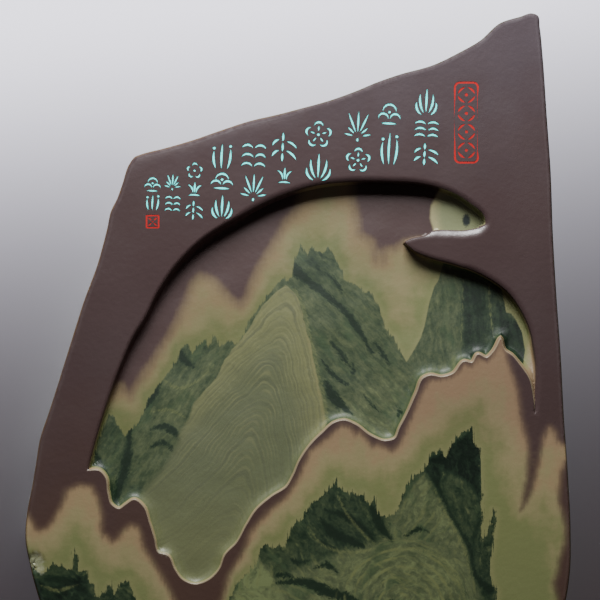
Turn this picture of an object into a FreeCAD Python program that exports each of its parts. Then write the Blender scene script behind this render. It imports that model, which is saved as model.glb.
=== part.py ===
import FreeCAD, Part
import math
import os

# A carved inkstone: one irregular slab of layered stone that lies on its back, with a wide, shallow
# ink well sunk into its honed face, and small ornaments engraved above the well and filled with
# pigment.  Millimetres.  +Z points up out of the carved face, +Y towards the top of the design.
# The origin is under the middle of the slab, on the flat back that the stone rests on.

DRIVING = [
    ("slab_thickness", 28.0),
    ("edge_round", 1.5),
    ("well_depth_top", 8.6),
    ("well_top_y", 88.0),
    ("well_slope_deg", 1.55),
    ("engraving_depth", 0.8),
    ("pigment_recess", 0.15),
    ("stroke_width", 1.05),
    ("small_stroke_width", 0.8),
    ("tall_seal_width", 12.5),
    ("tall_seal_height", 41.0),
    ("tall_seal_corner", 3.0),
    ("small_seal_side", 6.8),
    ("small_seal_corner", 0.6),
    ("seal_border", 1.0),
    ("row_lean_deg", -3.0),
]
SIZE = dict(DRIVING)

# The stone's outline, clockwise from its top left corner: the sloping top edge up to the horn,
# the nearly straight right side, the rounded foot and the wavy left side.
STONE_OUTLINE = [
    (-81.5, 100), (-79, 101), (-67.5, 104), (-53.5, 108), (-39, 113), (-23.5, 118), (-10.5, 121),
    (1, 124), (15.5, 128), (29.5, 133), (39, 137), (50.5, 141), (68, 146), (80.5, 152), (91, 158),
    (101.5, 167), (111, 170), (117.5, 171.7), (120, 170.7), (121, 165), (122.5, 150), (124.5, 121),
    (126.5, 92), (127.5, 63), (129.5, 28), (131.5, 0), (133, -29), (135, -58), (136.4, -87),
    (136.2, -106), (134, -122), (130, -136), (123, -148), (111, -158.5), (92, -165), (66, -168.5),
    (35, -170.2), (4, -171.7), (-30, -170.5), (-62, -169), (-86, -165), (-104, -157.5), (-117, -147),
    (-125, -134), (-130, -120), (-134, -105), (-136.4, -91), (-135.5, -78), (-133, -65), (-131, -53),
    (-129, -41), (-125, -29), (-120.5, -15), (-115.5, 1), (-110.5, 17), (-107, 28), (-104, 36),
    (-101, 44), (-97, 58), (-95.5, 64), (-93.5, 73), (-90.5, 79), (-88, 86), (-84, 97),
]

# The well's rim in three runs.  The upper run starts at the tapered corner on the right, climbs
# the right wall, rounds the tongue and the small round pocket above it, follows the long top arc
# and comes down the left wall.
WELL_UPPER_RIM = [
    (118.5, -28), (119.3, -18), (119.5, -4), (118.5, 3), (116.5, 13), (112, 23), (105.5, 32),
    (94.5, 40), (81, 46), (64, 51), (55, 55.2), (53.4, 57), (55.5, 58.4), (62, 60), (74.5, 59.8),
    (86, 60), (92.5, 62), (94.6, 65.5), (93.5, 70), (86, 77), (79, 81.5), (70, 85), (61, 87), (45, 88),
    (26, 88), (8.5, 86), (-10.5, 80), (-30, 70), (-49, 58), (-61, 46), (-70.5, 32), (-77.5, 18),
    (-82, 11), (-88, -2), (-96.5, -25), (-103, -47), (-105.5, -57),
]
# The lower rim is a mountain skyline: it drops in steps on the left, swings through the deepest
# bay and climbs over the humps on the right to one sharp peak.
WELL_RIDGE = [
    (-105.5, -57), (-99, -57.5), (-96.5, -60.5), (-95.3, -68), (-93.5, -74), (-89.5, -76.3),
    (-86, -74), (-82, -71.7), (-77.5, -75), (-74.5, -83), (-72, -91), (-70, -98), (-65, -99.8),
    (-62, -106), (-58, -111.5), (-51.5, -114), (-45, -112), (-39, -106), (-36.5, -99.5),
    (-30.5, -93), (-25.5, -84), (-21, -77), (-13, -70), (-5.5, -65), (-2.5, -60), (1, -52),
    (6.5, -44), (12.5, -38), (18, -33.3), (23, -32), (28.5, -34), (36.5, -39.7), (44, -42.3),
    (48.5, -41), (50.8, -36), (54.5, -29), (59.5, -18), (63, -10.7), (66, -9.5), (72, -10.3),
    (77.5, -8.7), (83.5, -2.5), (87, -3.2), (90, 1), (94.5, -0.7), (97.5, 2), (101.5, 9.2),
]
WELL_RIGHT_SLOPE = [
    (101.5, 9.2), (103.5, 3), (107, 0.5), (111, -4.3), (115.5, -11), (117.5, -19.5), (118.5, -28),
]


def arc(start, middle, end):
    """A circular arc through three points of the sketch plane."""
    points = [FreeCAD.Vector(x, y, 0) for x, y in (start, middle, end)]
    return Part.Arc(*points)


def stroke(start, end, bow, width):
    """One engraved stroke: a blade, pointed at both ends, whose middle line bows sideways by bow."""
    length = math.hypot(end[0] - start[0], end[1] - start[1])
    side = ((start[1] - end[1]) / length, (end[0] - start[0]) / length)
    middle = ((start[0] + end[0]) / 2, (start[1] + end[1]) / 2)
    edges = []
    for reach in (bow + width / 2, bow - width / 2):
        crown = (middle[0] + side[0] * reach, middle[1] + side[1] * reach)
        edges.append(arc(start, crown, end))
    return edges


def dot(centre, diameter):
    """A drilled dot."""
    return [Part.Circle(FreeCAD.Vector(centre[0], centre[1], 0), FreeCAD.Vector(0, 0, 1), diameter / 2)]


def polar(radius, degrees):
    """The point at a distance and a bearing, counted clockwise from straight up."""
    bearing = math.radians(degrees)
    return (radius * math.sin(bearing), radius * math.cos(bearing))


def moved(point, by):
    return (point[0] + by[0], point[1] + by[1])


# Ornaments.  Each one fills a cell of the given width and height about (0, 0) with separate
# strokes of the given width w, and returns one list of edges for each stroke.

def orchid(width, height, w):
    root = (0, -height / 2)
    blades = []
    for lean, reach, bow in ((-62, 0.62, 0.09), (-30, 0.82, 0.06), (0, 0.98, 0.0),
                             (30, 0.82, -0.06), (62, 0.62, -0.09)):
        inner = moved(root, polar(0.16 * height, lean))
        outer = moved(root, polar(reach * height, lean * 0.62 * width / height))
        blades.append(stroke(inner, outer, bow * height, w))
    return blades


def bamboo(width, height, w):
    strokes = []
    for low, high in ((-0.5, -0.2), (-0.15, 0.15), (0.2, 0.5)):
        strokes.append(stroke((-0.08 * width, low * height), (-0.08 * width, high * height), 0, w))
    for side, low, tip in ((1, -0.12, -0.42), (-1, -0.12, -0.34), (1, 0.2, -0.02), (-1, 0.26, 0.04)):
        start = (-0.08 * width + side * (0.1 * width + w / 2), low * height)
        strokes.append(stroke(start, (side * 0.5 * width, tip * height), side * 0.05 * height, w))
    return strokes


def blossom(width, height, w):
    radius = min(width, height) * 0.38
    strokes = [dot((0, 0), 1.3 * w)]
    for petal in range(5):
        start = polar(radius, 72 * petal - 25)
        end = polar(radius, 72 * petal + 25)
        strokes.append(stroke(start, end, radius * 0.36, w))
        if w > SIZE["small_stroke_width"]:
            inner = polar(0.38 * radius, 72 * petal)
            strokes.append(stroke(inner, polar(0.86 * radius, 72 * petal), 0, 0.7 * w))
    return strokes


def cloud(width, height, w):
    return [
        stroke((-0.3 * width, 0.12 * height), (0.3 * width, 0.12 * height), 0.34 * height, w),
        stroke((-0.5 * width, -0.22 * height), (-0.04 * width, -0.22 * height), 0.24 * height, w),
        stroke((0.04 * width, -0.22 * height), (0.5 * width, -0.22 * height), 0.24 * height, w),
        stroke((-0.36 * width, -0.44 * height), (0.36 * width, -0.44 * height), 0, w),
        dot((0, 0.1 * height), 1.2 * w),
    ]


def waves(width, height, w):
    strokes = []
    for row, shift in ((0.3, 0.0), (-0.05, 0.06), (-0.4, 0.0)):
        for side in (-1, 1):
            inner = (side * 0.035 * width + shift * width * 0.5, row * height)
            outer = (side * 0.5 * width, row * height)
            strokes.append(stroke(inner, outer, side * 0.13 * height, w))
    return strokes


def pine(width, height, w):
    root = (0, -0.34 * height)
    strokes = [stroke((0, -0.5 * height), (0, -0.38 * height), 0, w)]
    for lean in (-78, -47, -23, 0, 23, 47, 78):
        inner = moved(root, polar(0.16 * height, lean))
        reach = 0.84 * height if abs(lean) < 30 else 0.56 * width
        strokes.append(stroke(inner, moved(root, polar(reach, lean)), 0, 0.8 * w))
    return strokes


def reeds(width, height, w):
    strokes = []
    for x, top, bow in ((-0.34, 0.2, 0.05), (0.0, 0.5, 0.02), (0.34, 0.3, -0.05)):
        strokes.append(stroke((x * width * 0.7, -0.5 * height), (x * width, top * height),
                              bow * height, w))
    strokes.append(dot((-0.34 * width, 0.2 * height + 1.3 * w), 1.3 * w))
    strokes.append(dot((0.34 * width, 0.3 * height + 1.3 * w), 1.3 * w))
    return strokes


def sprout(width, height, w):
    return [
        stroke((0, -0.24 * height), (0, 0.5 * height), 0, 1.2 * w),
        stroke((-0.12 * width, -0.26 * height), (-0.46 * width, 0.3 * height), -0.12 * width, w),
        stroke((0.12 * width, -0.26 * height), (0.46 * width, 0.3 * height), 0.12 * width, w),
        stroke((-0.4 * width, -0.46 * height), (0.4 * width, -0.46 * height), 0.06 * height, w),
    ]


# Columns of ornaments from right to left: name, x, then one (ornament, y, width, height) for
# each cell from the top down.
COLUMNS = [
    ("engraving_1", 64.2, [(orchid, 127, 12, 14.5), (waves, 113.5, 12, 9), (bamboo, 101.2, 12, 11)]),
    ("engraving_2", 45.7, [(cloud, 121.2, 11, 10.5), (reeds, 104, 10, 16)]),
    ("engraving_3", 30, [(pine, 115, 12, 15), (blossom, 98.2, 12, 12)]),
    ("engraving_4", 10.2, [(blossom, 111, 13, 13), (orchid, 94.5, 15, 15)]),
    ("engraving_5", -6.7, [(bamboo, 104.7, 12, 14.5), (sprout, 90.5, 8, 8)]),
    ("engraving_6", -22.2, [(waves, 100.2, 12, 13), (pine, 84.5, 12, 13.5)]),
    ("engraving_7", -38, [(reeds, 100.2, 12, 12.5), (cloud, 87.7, 11, 8), (orchid, 74.5, 12, 13)]),
    ("engraving_8", -51.7, [(blossom, 93, 7.5, 7.5), (sprout, 83.7, 7.5, 7), (bamboo, 73.2, 8.5, 9.5)]),
    ("engraving_9", -62.7, [(pine, 87.2, 7.5, 8), (waves, 76.2, 7.5, 8.5)]),
    ("engraving_10", -72.7, [(cloud, 86, 8, 7), (reeds, 77, 8, 7.5)]),
]
SMALL_CELL = 9.6
TALL_SEAL = (84.2, 117)
SMALL_SEAL = (-72.7, 67.5)


def column_strokes(column_x, cells):
    """The strokes of one column, about the point (column_x, y of its first cell)."""
    lean = math.radians(SIZE["row_lean_deg"])
    turn = FreeCAD.Matrix()
    turn.rotateZ(lean)
    top_y = cells[0][1]
    strokes = []
    for ornament, y, width, height in cells:
        small = height < SMALL_CELL and width < SMALL_CELL
        w = SIZE["small_stroke_width"] if small else SIZE["stroke_width"]
        shift = FreeCAD.Matrix()
        shift.move(0, y - top_y, 0)
        for edges in ornament(width, height, w):
            for edge in edges:
                edge.transform(shift * turn)
            strokes.append(edges)
    return strokes


def rounded_ring(width, height, corner, border):
    """The two closed outlines of a rounded rectangular border."""
    loops = []
    for inset in (0, border):
        radius = max(corner - inset, 0.2)
        half_w = width / 2 - inset
        half_h = height / 2 - inset
        diagonal = radius * (1 - math.sqrt(0.5))
        loop = []
        for sx, sy in ((1, 1), (-1, 1), (-1, -1), (1, -1)):
            side = (sx * half_w, sy * (half_h - radius))
            crown = (sx * (half_w - diagonal), sy * (half_h - diagonal))
            cap = (sx * (half_w - radius), sy * half_h)
            corner_arc = arc(side, crown, cap) if sx * sy > 0 else arc(cap, crown, side)
            loop.append(corner_arc)
        for k in range(4):
            start = loop[k].toShape().lastVertex().Point
            end = loop[(k + 1) % 4].toShape().firstVertex().Point
            loop.append(Part.LineSegment(start, end))
        loops.append(loop)
    return loops


def lozenge_chain(width, height, count, w):
    """A plain stack of lozenges, each of four strokes about a dot."""
    strokes = []
    pitch = height / count
    half_w = width / 2
    half_h = pitch * 0.42
    gap = 0.12
    for k in range(count):
        y = height / 2 - pitch * (k + 0.5)
        strokes.append(dot((0, y), 1.5 * w))
        for sx, sy in ((1, 1), (1, -1), (-1, -1), (-1, 1)):
            start = (sx * half_w * gap, y + sy * half_h)
            end = (sx * half_w, y + sy * half_h * gap)
            strokes.append(stroke(start, end, sx * sy * 0.06 * pitch, w))
    return strokes


def four_petals(side, w):
    """Four leaf strokes about a dot."""
    strokes = [dot((0, 0), w)]
    for quarter in range(4):
        bearing = 45 + 90 * quarter
        strokes.append(stroke(polar(0.17 * side, bearing), polar(0.62 * side, bearing), 0, w))
    return strokes


doc = FreeCAD.newDocument("inkstone")
sheet = doc.addObject("Spreadsheet::Sheet", "sizes")
for row, (alias, value) in enumerate(DRIVING, start=1):
    sheet.set(f"A{row}", alias)
    sheet.set(f"B{row}", str(value))
    sheet.setAlias(f"B{row}", alias)
doc.recompute()


def base_plane(body, role):
    """One of the body's own origin planes."""
    return next(feature for feature in body.Origin.OriginFeatures if feature.Role == role)


def sketch_at(body, name, height, x=0, y=0):
    """A sketch parallel to the body's XY plane, at a height given by a sheet expression."""
    sketch = body.newObject("Sketcher::SketchObject", name)
    sketch.AttachmentSupport = [(base_plane(body, "XY_Plane"), "")]
    sketch.MapMode = "FlatFace"
    sketch.AttachmentOffset = FreeCAD.Placement(FreeCAD.Vector(x, y, 0), FreeCAD.Rotation())
    sketch.setExpression("AttachmentOffset.Base.z", height)
    return sketch


def smooth_run(points, closed=False):
    """Cubic curves joined smoothly through hand-set points, one from each point to the next."""
    knots = [FreeCAD.Vector(x, y, 0) for x, y in points]
    count = len(knots)
    slopes = []
    for k, knot in enumerate(knots):
        if closed or 0 < k < count - 1:
            back = knot - knots[k - 1]
            ahead = knots[(k + 1) % count] - knot
            share = back.Length / (back.Length + ahead.Length)
            slopes.append(back.normalize() * (1 - share) + ahead.normalize() * share)
        else:
            end_chord = knots[1] - knots[0] if k == 0 else knots[-1] - knots[-2]
            slopes.append(end_chord.normalize())
    curves = []
    for k in range(count if closed else count - 1):
        start = knots[k]
        end = knots[(k + 1) % count]
        third = (end - start).Length / 3
        curve = Part.BezierCurve()
        curve.setPoles([start, start + slopes[k] * third, end - slopes[(k + 1) % count] * third, end])
        curves.append(curve.toBSpline())
    return curves


def engrave(slab, name, loops, x, y):
    """Cut one group of strokes into the slab's face."""
    outline = sketch_at(slab, name + "_lines", "sizes.slab_thickness", x, y)
    for loop in loops:
        outline.addGeometry(loop, False)
    groove = slab.newObject("PartDesign::Pocket", name + "_groove")
    groove.Profile = outline
    groove.Type = "Length"
    groove.setExpression("Length", "sizes.engraving_depth")
    outline.Visibility = False


def pigment(label, loops, x, y):
    """The pigment that fills one group of grooves, just below the stone's face."""
    body = doc.addObject("PartDesign::Body", label)
    body.Label = label
    body.AllowCompound = True
    body.Placement = FreeCAD.Placement(FreeCAD.Vector(x, y, 0), FreeCAD.Rotation())
    body.setExpression("Placement.Base.z", "sizes.slab_thickness - sizes.engraving_depth")
    outline = sketch_at(body, label + "_fill_lines", "0 mm")
    for loop in loops:
        outline.addGeometry(loop, False)
    fill = body.newObject("PartDesign::Pad", label + "_fill")
    fill.Profile = outline
    fill.Type = "Length"
    fill.setExpression("Length", "sizes.engraving_depth - sizes.pigment_recess")
    return body


# The slab with its rounded edges.
slab = doc.addObject("PartDesign::Body", "stone_slab")
slab.Label = "stone_slab"
slab.Placement = FreeCAD.Placement()
outline = sketch_at(slab, "slab_outline", "0 mm")
outline.addGeometry(smooth_run(STONE_OUTLINE, closed=True), False)
block = slab.newObject("PartDesign::Pad", "slab_block")
block.Profile = outline
block.Type = "Length"
block.setExpression("Length", "sizes.slab_thickness")
doc.recompute()

level_edges = []
for number, edge in enumerate(block.Shape.Edges, start=1):
    if edge.BoundBox.ZLength < 0.01:
        level_edges.append(f"Edge{number}")
rounding = slab.newObject("PartDesign::Fillet", "slab_rounding")
rounding.Base = (block, level_edges)
rounding.setExpression("Radius", "sizes.edge_round")
doc.recompute()

# The ink well, down to a floor that is deepest under the top arc and rises towards the ridge.
floor = slab.newObject("PartDesign::Plane", "well_floor")
floor.AttachmentSupport = [(base_plane(slab, "XY_Plane"), "")]
floor.MapMode = "FlatFace"
floor.AttachmentOffset = FreeCAD.Placement(
    FreeCAD.Vector(0, SIZE["well_top_y"], 0),
    FreeCAD.Rotation(FreeCAD.Vector(1, 0, 0), -SIZE["well_slope_deg"]))
floor.setExpression("AttachmentOffset.Base.y", "sizes.well_top_y")
floor.setExpression("AttachmentOffset.Base.z", "sizes.slab_thickness - sizes.well_depth_top")
rim = sketch_at(slab, "well_rim", "sizes.slab_thickness")
for run in (WELL_UPPER_RIM, WELL_RIDGE, WELL_RIGHT_SLOPE):
    rim.addGeometry(smooth_run(run), False)
well = slab.newObject("PartDesign::Pocket", "ink_well")
well.Profile = rim
well.Type = "UpToFace"
well.UpToFace = (floor, [""])
doc.recompute()

# Engraved columns and seals, and the pigment in them.
groups = []
for name, x, cells in COLUMNS:
    groups.append((name + "_pigment", column_strokes(x, cells), x, cells[0][1]))
border = SIZE["seal_border"]
groups.append(("tall_seal_border", rounded_ring(SIZE["tall_seal_width"], SIZE["tall_seal_height"],
                                                SIZE["tall_seal_corner"], border), *TALL_SEAL))
groups.append(("tall_seal_ornament", lozenge_chain(SIZE["tall_seal_width"] - 4 * border,
                                                   SIZE["tall_seal_height"] - 4 * border, 4,
                                                   SIZE["stroke_width"]), *TALL_SEAL))
groups.append(("small_seal_border", rounded_ring(SIZE["small_seal_side"], SIZE["small_seal_side"],
                                                 SIZE["small_seal_corner"], 0.8 * border), *SMALL_SEAL))
groups.append(("small_seal_ornament", four_petals(SIZE["small_seal_side"] - 2 * border,
                                                  SIZE["small_stroke_width"]), *SMALL_SEAL))

solid_before = slab.Shape.Volume
pieces = [slab]
for label, loops, x, y in groups:
    engrave(slab, label, loops, x, y)
    pieces.append(pigment(label, loops, x, y))
doc.recompute()

# Checks before anything is written.
faults = []
for item in doc.Objects:
    if "Invalid" in item.State or "Error" in item.State:
        faults.append(f"{item.Name}: {item.State}")
for piece in pieces:
    if piece.Shape.isNull() or not piece.Shape.isValid():
        faults.append(f"{piece.Label}: shape is null or not valid")
filled = sum(piece.Shape.Volume for piece in pieces[1:])
depth_ratio = SIZE["engraving_depth"] / (SIZE["engraving_depth"] - SIZE["pigment_recess"])
cut = solid_before - slab.Shape.Volume
if abs(cut - filled * depth_ratio) > 0.5:
    faults.append(f"the grooves take {cut:.1f} mm3 but their pigment says {filled * depth_ratio:.1f}")
if faults:
    raise RuntimeError("\n".join(faults))

os.makedirs("parts", exist_ok=True)
for piece in pieces:
    piece.Shape.exportStep(f"parts/{piece.Label}.step")
    box = piece.Shape.BoundBox
    print(f"{piece.Label}: {len(piece.Shape.Solids)} solids, {piece.Shape.Volume:.1f} mm3, "
          f"z {box.ZMin:.2f} to {box.ZMax:.2f}")
whole = slab.Shape.BoundBox
print(f"stone: x {whole.XMin:.2f} to {whole.XMax:.2f}, y {whole.YMin:.2f} to {whole.YMax:.2f}")
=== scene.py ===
"""Looks of the landscape inkstone.

One slab of layered stone, with a well carved through its purple top layer, lies on a pale floor.
The stone is built here as a fine mesh. Fields on it, worked out from outlines in millimetres, say where
each layer shows, and one material colours the stone from them.
The pigment in the engraved strokes stays as packed and gets its own finish.
"""
import math

import bpy
import numpy as np
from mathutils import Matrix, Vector, kdtree
from mathutils.geometry import delaunay_2d_cdt


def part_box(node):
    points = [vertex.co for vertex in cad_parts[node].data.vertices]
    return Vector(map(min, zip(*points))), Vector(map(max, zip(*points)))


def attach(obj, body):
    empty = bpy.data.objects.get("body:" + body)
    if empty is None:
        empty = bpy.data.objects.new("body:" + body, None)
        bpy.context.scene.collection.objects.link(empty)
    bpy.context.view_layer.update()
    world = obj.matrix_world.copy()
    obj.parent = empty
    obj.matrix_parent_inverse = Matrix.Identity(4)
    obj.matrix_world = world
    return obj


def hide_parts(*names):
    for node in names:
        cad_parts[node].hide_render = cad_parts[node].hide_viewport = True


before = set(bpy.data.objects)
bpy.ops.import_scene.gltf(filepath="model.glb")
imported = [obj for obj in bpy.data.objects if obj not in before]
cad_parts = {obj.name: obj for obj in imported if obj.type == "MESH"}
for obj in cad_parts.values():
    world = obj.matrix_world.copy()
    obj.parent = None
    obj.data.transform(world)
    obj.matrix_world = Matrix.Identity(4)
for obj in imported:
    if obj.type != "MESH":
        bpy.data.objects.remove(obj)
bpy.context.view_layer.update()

MM = 0.001

# Heights and profiles of the worked stone, in millimetres.
FACE_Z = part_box("stone_slab")[1].z / MM
EDGE_ROUND = 1.5
FOOT_ROUND = 2.0
FLOOR_Z_AT_TOP = FACE_Z - 8.6
WELL_TOP_Y = 88.0
FLOOR_RISE = math.tan(math.radians(1.55))
GROOVE_DEPTH = 0.8
PURPLE_THICKNESS = 7.5
BUFF_THICKNESS = 5.0
BEVEL_DEPTH = 0.55
BEVEL_WIDTH = 6.5

# How closely the surface is sampled, in millimetres.
OUTLINE_STEP = 1.2
RIM_STEP = 0.8
PLAIN_STEP = 2.6
PATTERN_STEP = 1.4
LINE_STEP = 0.67
LINE_REACH = 1.3
BAND_LINE_REACH = 0.8
STROKE_REACH = 0.95
BACK_STEP = 7.0
BACK_MARGIN = 5.0
EDGE_MARGIN = 5.6
WALL_MARGIN_OUTSIDE = 0.7
WALL_MARGIN_INSIDE = 0.5
LONGEST_GROOVE_EDGE = 6.0
EDGE_RINGS = (0.12, 0.35, 0.7, 1.1, 1.5, 2.2, 3.2, 4.4)
RIM_RINGS = (
    -2.8, -2.3, -1.9, -1.5, -1.15, -0.85, -0.6, -0.35, -0.12,
    0.12, 0.35, 0.6, 0.85, 1.15, 1.5, 1.9, 2.4, 3.0, 3.45, 3.7, 4.5, 5.4, 6.4)
SIDE_HEIGHTS = (
    26.3, 25.4, 24.0, 22.2, 20.3, 18.3, 16.2, 14.0, 11.8, 9.6, 7.4, 5.2, 3.4, 2.0, 1.1, 0.45, 0.12, 0.0)

# Depths that say a place is outside a pattern: near its edge, or far from it.
OUTSIDE = -5.0
FAR_OUTSIDE = -9.0

# The slab's outline and the rim of the well, in millimetres, as in the design.
STONE_OUTLINE = [
    (-81.5, 100), (-79, 101), (-67.5, 104), (-53.5, 108), (-39, 113), (-23.5, 118), (-10.5, 121),
    (1, 124), (15.5, 128), (29.5, 133), (39, 137), (50.5, 141), (68, 146), (80.5, 152), (91, 158),
    (101.5, 167), (111, 170), (117.5, 171.7), (120, 170.7), (121, 165), (122.5, 150), (124.5, 121),
    (126.5, 92), (127.5, 63), (129.5, 28), (131.5, 0), (133, -29), (135, -58), (136.4, -87),
    (136.2, -106), (134, -122), (130, -136), (123, -148), (111, -158.5), (92, -165), (66, -168.5),
    (35, -170.2), (4, -171.7), (-30, -170.5), (-62, -169), (-86, -165), (-104, -157.5), (-117, -147),
    (-125, -134), (-130, -120), (-134, -105), (-136.4, -91), (-135.5, -78), (-133, -65), (-131, -53),
    (-129, -41), (-125, -29), (-120.5, -15), (-115.5, 1), (-110.5, 17), (-107, 28), (-104, 36),
    (-101, 44), (-97, 58), (-95.5, 64), (-93.5, 73), (-90.5, 79), (-88, 86), (-84, 97)]
WELL_UPPER_RIM = [
    (118.5, -28), (119.3, -18), (119.5, -4), (118.5, 3), (116.5, 13), (112, 23), (105.5, 32),
    (94.5, 40), (81, 46), (64, 51), (55, 55.2), (53.4, 57), (55.5, 58.4), (62, 60), (74.5, 59.8),
    (86, 60), (92.5, 62), (94.6, 65.5), (93.5, 70), (86, 77), (79, 81.5), (70, 85), (61, 87),
    (45, 88), (26, 88), (8.5, 86), (-10.5, 80), (-30, 70), (-49, 58), (-61, 46), (-70.5, 32),
    (-77.5, 18), (-82, 11), (-88, -2), (-96.5, -25), (-103, -47), (-105.5, -57)]
WELL_RIDGE = [
    (-105.5, -57), (-99, -57.5), (-96.5, -60.5), (-95.3, -68), (-93.5, -74), (-89.5, -76.3),
    (-86, -74), (-82, -71.7), (-77.5, -75), (-74.5, -83), (-72, -91), (-70, -98), (-65, -99.8),
    (-62, -106), (-58, -111.5), (-51.5, -114), (-45, -112), (-39, -106), (-36.5, -99.5),
    (-30.5, -93), (-25.5, -84), (-21, -77), (-13, -70), (-5.5, -65), (-2.5, -60), (1, -52),
    (6.5, -44), (12.5, -38), (18, -33.3), (23, -32), (28.5, -34), (36.5, -39.7), (44, -42.3),
    (48.5, -41), (50.8, -36), (54.5, -29), (59.5, -18), (63, -10.7), (66, -9.5), (72, -10.3),
    (77.5, -8.7), (83.5, -2.5), (87, -3.2), (90, 1), (94.5, -0.7), (97.5, 2), (101.5, 9.2)]
WELL_RIGHT_SLOPE = [
    (101.5, 9.2), (103.5, 3), (107, 0.5), (111, -4.3), (115.5, -11), (117.5, -19.5), (118.5, -28)]

# The well's wall along each stretch of the rim, in millimetres: how far outside the rim its rounded
# top begins, that rounding's radius and length, the wall's width below it, and the purple layer's
# thickness there. The last two numbers say how hollow its foot is, and how upright its top is.
TOP_WALL = (2.6, 5.0, 2.9, 1.5, 6.0, 1.4, 1.4)
LEFT_WALL = (1.5, 2.2, 1.8, 1.5, 6.0, 1.6, 1.6)
UNDER_TONGUE_WALL = (1.4, 4.0, 2.2, 1.4, 6.0, 1.4, 1.4)
TONGUE_WALL = (1.3, 7.0, 4.75, 0.22, 6.0, 1.0, 1.0)
TONGUE_TIP_WALL = (2.0, 6.0, 1.8, 0.6, 6.0, 1.0, 1.0)
COVE_WALL = (0.2, 0.9, 0.84, 7.0, 0.35, 3.0, 2.0)
SLOPE_WALL = (0.6, 1.2, 1.15, 3.2, 0.5, 2.0, 1.6)
# Where the upper rim has another wall than the top one: (wall, least x, greatest x, least y, greatest y).
# Where two of them meet, the later one counts.
UPPER_WALLS = [
    (LEFT_WALL, -120, -28, -60, 90), (UNDER_TONGUE_WALL, 57, 84, -60, 56.4),
    (TONGUE_WALL, 53, 120, 56.4, 65), (TONGUE_TIP_WALL, 50, 59, 52, 57), (TONGUE_TIP_WALL, 53, 66, 56.4, 65)]
WALL_EASINGS = 8
# The pale lip along the low ridge, a cream line that is partly the cut buff layer and partly a painted
# highlight: how far inside the rim its middle runs, and half its width.
LIP_PLACE = 0.25
LIP_REACH = 0.45
# How closely the bands in the rock are followed, and how far from them their depth is worked out.
BAND_STEP = 3.0
BAND_REACH = 5.0

# Where each colour of the stone shows. Each list is a closed region, in millimetres on the face.
# Regions run past the stone's edge or under the well's walls, where their far side doesn't matter.
FLOOR_PURPLE_LEFT = [
    (2.5, 84), (1, 79), (-1, 73), (-6, 67), (-9.5, 60), (-15.5, 51), (-22, 39), (-25, 30),
    (-29, 25), (-33.5, 28), (-38, 33), (-43, 38), (-49, 40), (-52.5, 36), (-56, 27), (-60.5, 17),
    (-65, 9), (-72, -2), (-77, -9), (-81.5, -16), (-84, -21), (-87, -18), (-89, -15), (-92.5, -18),
    (-96.5, -22), (-130, -20), (-130, 110), (2.5, 110)]
FLOOR_PURPLE_RIGHT = [
    (27, 110), (27, 86), (27.5, 79), (29, 71), (30, 62), (34, 59), (37, 57), (38.5, 49),
    (39.5, 47.5), (40.5, 52), (42, 49), (43, 47.5), (44.5, 53), (48.5, 53.5), (51.5, 55),
    (54, 57), (60, 58), (110, 58), (110, 110)]
FLOOR_PURPLE_TIP = [(119, 4), (117.3, -14), (118, -32), (126, -32), (126, 4)]
FLOOR_GREEN = [
    (-115, -62), (-103, -54), (-100.5, -44), (-97.5, -35), (-95, -29), (-92, -30.5),
    (-90.5, -34.5), (-88.5, -37), (-87, -40), (-85.5, -38), (-83, -36), (-82, -33), (-81.5, -35.5),
    (-79, -31), (-75, -21), (-72, -17), (-70, -14.5), (-66, -9), (-63, -5), (-60.5, -1.5),
    (-59, 4), (-55, 7), (-53.5, 1), (-50.5, 5), (-46, 9), (-45, 4), (-41.5, 11.5), (-39.5, 5),
    (-34.5, 8), (-31, 6), (-27, 11.5), (-25, 17.5), (-19, 25.5), (-14.5, 31.5), (-11, 36),
    (-6.5, 40), (-6, 37.5), (-3, 40), (-2.5, 46), (-1, 50.5), (1.5, 56.5), (4.5, 50.5), (7, 56),
    (8.5, 53), (12.5, 52), (15.5, 55), (17.5, 52), (20, 47), (22.5, 42), (23.5, 38.5), (28, 36),
    (30.5, 35.5), (33, 32), (36, 32.5), (38, 29), (41, 24), (43, 18.5), (44, 14), (46, 11),
    (48, 10), (50.5, 4), (54.5, -3), (58.5, 3.5), (61.5, 9), (63.5, 15), (66, 27), (68.5, 35),
    (70.5, 38), (72, 43), (75, 55), (101, 38), (103.5, 28), (104.5, 22), (107, 21.5), (109, 19),
    (112.5, 12), (114, 3), (113, -4), (108, -14), (108, -150), (-130, -150)]
FOLD = [
    (-6, 36), (-11, 32), (-18, 25), (-22.5, 18), (-26.5, 11), (-31, 6), (-37, -2), (-41, -11),
    (-45.5, -16), (-52.5, -24), (-54.5, -31), (-58.5, -37), (-60.5, -44), (-64, -51), (-69, -58),
    (-76, -66), (-82, -76), (-82, -130), (30, -130), (13.5, -30), (12.5, -23), (11, -17), (8, -3),
    (6.5, 6), (4, 13), (2, 22), (0, 29), (-3, 33)]
FOLD_LEFT_SIDE = FOLD[:16]
FOLD_RIGHT_SIDE = [(30, -130), (13.5, -30), (12.5, -23), (11, -17), (8, -3), (4, 13), (0, 29), (-6, 42)]
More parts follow.
